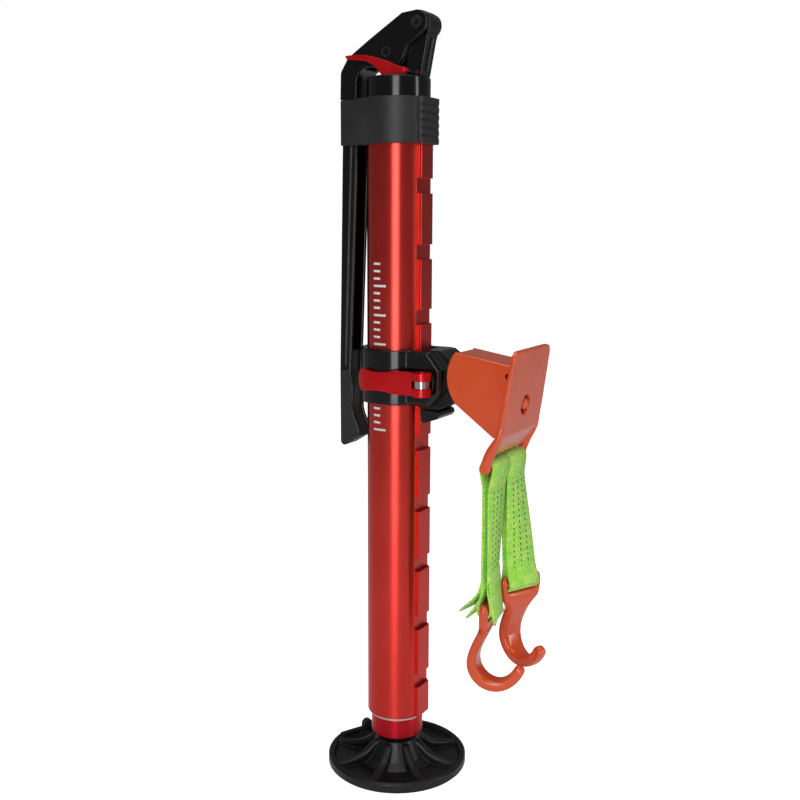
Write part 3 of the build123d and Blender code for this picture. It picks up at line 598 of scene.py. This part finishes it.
def mesh_object(bm, name, slot, matrix=Matrix.Scale(MM, 4)):
    """Turns a bmesh in millimetres into an object in the scene."""
    bmesh.ops.recalc_face_normals(bm, faces=bm.faces)
    bm.transform(matrix)
    mesh = bpy.data.meshes.new(name)
    bm.to_mesh(mesh)
    bm.free()
    for polygon in mesh.polygons:
        polygon.use_smooth = True
    mesh.materials.append(LOOKS[slot])
    obj = bpy.data.objects.new(name, mesh)
    scene.collection.objects.link(obj)
    return obj


def weld(obj, voxel, passes):
    """Melts the overlapping shapes into one skin and softens where they meet."""
    merge = obj.modifiers.new("weld", "REMESH")
    merge.mode, merge.voxel_size, merge.use_smooth_shade = "VOXEL", voxel, True
    soften = obj.modifiers.new("soften", "SMOOTH")
    soften.factor, soften.iterations = 0.5, passes


def sweep(bm, points, side):
    """Rings along points of (x, z, width, thickness) in the hook's own plane, with a rounded end."""
    rings = []
    for i, (x, z, width, thick) in enumerate(points):
        before, after = points[max(i - 1, 0)], points[min(i + 1, len(points) - 1)]
        along = Vector((after[0] - before[0], 0, after[1] - before[1])).normalized()
        rings.append(rounded_ring(Vector((x, 0, z)), side, along.cross(side), width, thick))
    x, z, width, thick = points[-1]
    for share in (0.35, 0.65, 0.85, 0.97):
        spread = math.sqrt(1 - share**2)
        centre = Vector((x, 0, z)) + along * share * thick / 2
        rings.append(rounded_ring(centre, side, along.cross(side), width * spread, thick * spread))
    tube_mesh(bm, rings)


def forged_hook(word, eye, body):
    out, side, up = Vector((1, 0, 0)), Vector((0, 1, 0)), Vector((0, 0, 1))
    bm = bmesh.new()
    sweep(bm, smooth_run(HOOK_PATH, 4), side)
    for edge in (-1, 1):
        rings = []
        for y, z, width, thick in smooth_run(HORN, 4):
            rings.append(rounded_ring(Vector((0, edge * y, z)), side, out, width, thick, 2.1, 24))
        tube_mesh(bm, rings)
    tube_mesh(bm, [rounded_ring(side * y, out, up, EYE_BAR, EYE_BAR, ROUND, 20) for y in EYE_BAR_ENDS])
    x, y, z, yaw = eye
    placed = Matrix.Translation(Vector((x, y, z)) * MM) @ Matrix.Rotation(math.radians(yaw), 4, "Z")
    obj = mesh_object(bm, word + "_forged_hook", "orange_paint", placed @ Matrix.Scale(MM, 4))
    weld(obj, voxel=0.0007, passes=10)
    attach(obj, body)
    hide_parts(word + "_hook")


forged_hook("left", LEFT_EYE, "left_grab")
forged_hook("right", RIGHT_EYE, "right_grab")


# ---- toe plate ----
LEG = [
    # out from the hinge, height from it, half the distance between the legs, thickness
    (43.8, -32.0, 38.0, 4.2), (43.4, -39.0, 38.0, 5.6), (41.2, -45.5, 37.6, 7.4), (38.2, -53.0, 37.0, 8.4),
    (36.2, -61.0, 36.4, 8.8), (35.5, -66.6, 35.4, 8.8), (35.5, -68.2, 32.0, 8.6),
]


def cast_toe_plate():
    """The toe plate as one casting: thick rounded legs run down from it to the slot's bar."""
    source = nodes["toe_plate"]
    bm = bmesh.new()
    bm.from_mesh(source.data)
    bm.transform(Matrix.Scale(1 / MM, 4) @ source.matrix_world)
    for side in (-1, 1):
        run = smooth_run(LEG, 5)
        points = [toe_point(a, b, side * y) for a, b, y, thick in run]
        rings = []
        for i, point in enumerate(points):
            along = heading(points, i)
            wide = along.orthogonal().normalized()
            rings.append(rounded_ring(point, wide, along.cross(wide), run[i][3], run[i][3], ROUND, 20))
        tube_mesh(bm, rings)
    obj = mesh_object(bm, "cast_toe_plate", "orange_paint")
    weld(obj, voxel=0.0006, passes=5)
    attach(obj, "toe")
    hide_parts("toe_plate")


cast_toe_plate()


# ---- latch springs ----
SPRING_X0, SPRING_X1 = 35.2, 52.0
SPRING_ZS = (352.0, 376.0)
SPRING_R, WIRE = 2.15, 0.75      # of the coils' middle line; diameter of the wire


def latch_coils():
    """Two wound springs behind the latch plate; the coils are built at one fixed length."""
    bm = bmesh.new()
    turns, around_turn = 8, 18
    count = turns * around_turn
    for z in SPRING_ZS:
        rings = []
        for i in range(count + 1):
            angle = 2 * math.pi * i / around_turn
            out = Vector((0, math.cos(angle), math.sin(angle)))
            centre = Vector((SPRING_X0 + (SPRING_X1 - SPRING_X0) * i / count, 0, z)) + out * SPRING_R
            rings.append(rounded_ring(centre, out, Vector((1, 0, 0)), WIRE, WIRE, ROUND, 8))
        tube_mesh(bm, rings)
    obj = mesh_object(bm, "latch_coils", "plain_steel")
    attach(obj, "carriage")
    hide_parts("latch_springs")
    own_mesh(obj)


latch_coils()


# ---- handle bar ----
LIP = [
    # x and z along the inner edge of the bar, then of the grip
    (-36.2, 556.0), (-38.4, 500.0), (-40.9, 440.0), (-42.5, 400.0), (-43.8, 366.0), (-42.0, 353.0),
    (-42.0, 342.0), (-42.2, 330.0), (-37.0, 317.0), (-34.2, 309.6),
]
LIP_Y = 8.8                      # out from the centre plane, either side
LIP_R = 1.45


def rolled_lips():
    """The bar's two edges are rolled over, and the grip carries the same bead on down."""
    bm = bmesh.new()
    across = Vector((0, 1, 0))
    for side in (-1, 1):
        points = [Vector((x, side * LIP_Y, z)) for x, z in smooth_run(LIP, 6)]
        rings = []
        for i, point in enumerate(points):
            along = heading(points, i)
            share = min(1.0, (i + 1) / 4, (len(points) - i) / 4)
            size = 2 * LIP_R * math.sqrt(share)
            rings.append(rounded_ring(point, across, along.cross(across), size, size, ROUND, 16))
        tube_mesh(bm, rings)
    obj = mesh_object(bm, "rolled_lips", "black_paint")
    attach(obj, "handle")


rolled_lips()


# ---- floor, light and camera ----
FLOOR_REACH = 14.0
FLOOR_Z = -0.0002
LENS, SENSOR = 47.19, 36.0
CAMERA_SHIFT = 0.0127
CAMERA_AT = (0.4540, -0.7934, 0.4997)
CAMERA_LOOK = (-0.4869, 0.8548, -0.1791)
CAMERA_ROLL = math.radians(0.183)


def area(name, location, target, width, height, power):
    data = bpy.data.lights.new(name, "AREA")
    data.shape, data.size, data.size_y = "RECTANGLE", width, height
    data.energy = power
    lamp = bpy.data.objects.new(name, data)
    lamp.location = location
    lamp.rotation_euler = (Vector(target) - Vector(location)).to_track_quat("-Z", "Y").to_euler()
    scene.collection.objects.link(lamp)


def around(azimuth, distance, height):
    """A point round the barrel; azimuth 0 is straight out along -Y, and it grows towards +X."""
    turn = math.radians(azimuth)
    return (math.sin(turn) * distance, -math.cos(turn) * distance, height)


def floor():
    """A flat floor that the camera sees as white, and that gives little light of its own to anything else."""
    corners = [(-1, -1), (1, -1), (1, 1), (-1, 1)]
    verts = [(x * FLOOR_REACH, y * FLOOR_REACH, FLOOR_Z) for x, y in corners]
    mesh = bpy.data.meshes.new("floor")
    mesh.from_pydata(verts, [], [(0, 1, 2, 3)])
    obj = bpy.data.objects.new("floor", mesh)
    scene.collection.objects.link(obj)
    shader = Shader("floor_white")
    shader.set(base_color=rgb(0.8, 0.8, 0.8), roughness=0.9)
    seen = shader.node("ShaderNodeLightPath").outputs["Is Camera Ray"]
    shader.set(emission_color=rgb(1, 1, 1), emission_strength=shader.ramp(seen, 0.0, 1.0, 0.1, 0.95))
    mesh.materials.append(shader.material)


floor()
area("key", around(19, 1.7, 0.62), (0, 0, 0.34), 0.62, 1.9, 18)
area("side_strip", around(98, 1.4, 0.5), (0, 0, 0.34), 0.14, 1.5, 5)
area("top", (0.1, -0.1, 2.2), (0, 0, 0.3), 1.6, 1.6, 16)

world = bpy.data.worlds.new("studio")
world.use_nodes = True
scene.world = world
tree = world.node_tree
background = tree.nodes["Background"]
path = tree.nodes.new("ShaderNodeLightPath")
shade = tree.nodes.new("ShaderNodeMix")
shade.data_type = "RGBA"
shade.inputs[6].default_value = (0.15, 0.15, 0.154, 1)
shade.inputs[7].default_value = (1.0, 1.0, 1.0, 1)
tree.links.new(path.outputs["Is Camera Ray"], shade.inputs[0])
tree.links.new(shade.outputs[2], background.inputs["Color"])
background.inputs["Strength"].default_value = 1.0

camera_data = bpy.data.cameras.new("camera")
camera_data.lens = LENS
camera_data.sensor_width = SENSOR
camera_data.shift_y = CAMERA_SHIFT
camera = bpy.data.objects.new("camera", camera_data)
camera.location = CAMERA_AT
aim = Vector(CAMERA_LOOK).normalized().to_track_quat("-Z", "Y")
camera.rotation_mode = "QUATERNION"
camera.rotation_quaternion = aim @ Matrix.Rotation(CAMERA_ROLL, 4, "Z").to_quaternion()
scene.collection.objects.link(camera)
scene.camera = camera
scene.view_settings.view_transform = "Standard"
